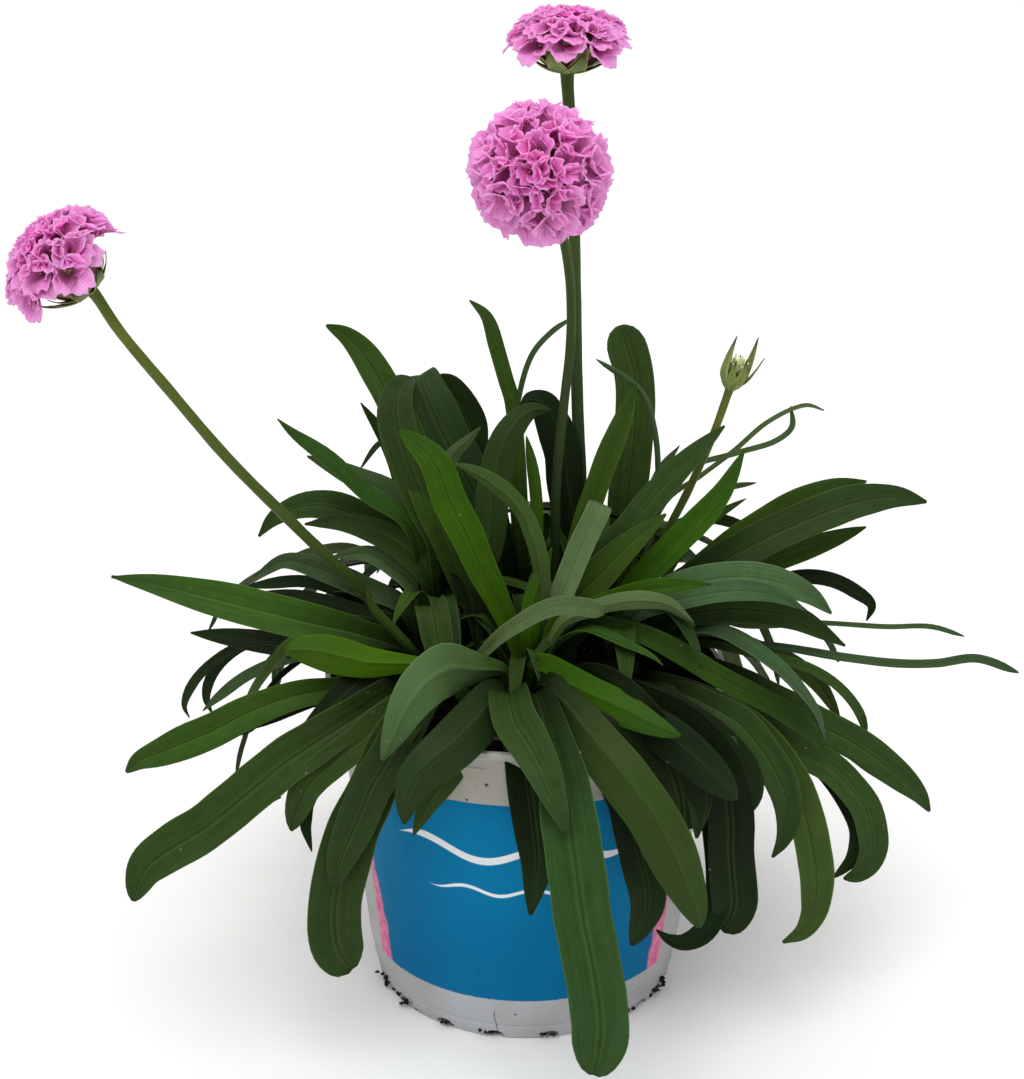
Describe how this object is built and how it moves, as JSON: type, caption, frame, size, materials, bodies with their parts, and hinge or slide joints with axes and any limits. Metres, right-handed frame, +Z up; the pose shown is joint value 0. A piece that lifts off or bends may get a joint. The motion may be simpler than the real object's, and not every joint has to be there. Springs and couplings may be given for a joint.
{
  "type": "potted flowering plant",
  "caption": "Potted flowering plant: arching strap leaves in rosettes, round flower heads on bare stalks and a bud, growing from soil in a round tapered nursery pot.",
  "frame": {"origin": "centre of the pot's flat underside, which stands on the ground", "axes": "+Z up along the pot's axis; -Y toward the front that the picture shows; the left flower leans toward -X"},
  "size_m": [0.3667, 0.2727, 0.3647],
  "materials": {
    "pot_plastic": "satin off-white plastic with a plain blue printed band and dirt specks",
    "soil": "loose dark peat",
    "leaf": "smooth, slightly waxy",
    "stalk": "matte green",
    "petal": "thin, soft and finely veined",
    "bud": "soft pale green"
  },
  "bodies": {
    "root": {"pot": "pot_plastic", "soil": "soil", "foliage": "leaf", "scape_left": "stalk", "scape_top": "stalk", "scape_front": "stalk", "scape_bud": "stalk", "bloom_left": "petal", "bloom_top": "petal", "bloom_front": "petal", "bud_flowers": "bud"}
  },
  "joints": []
}
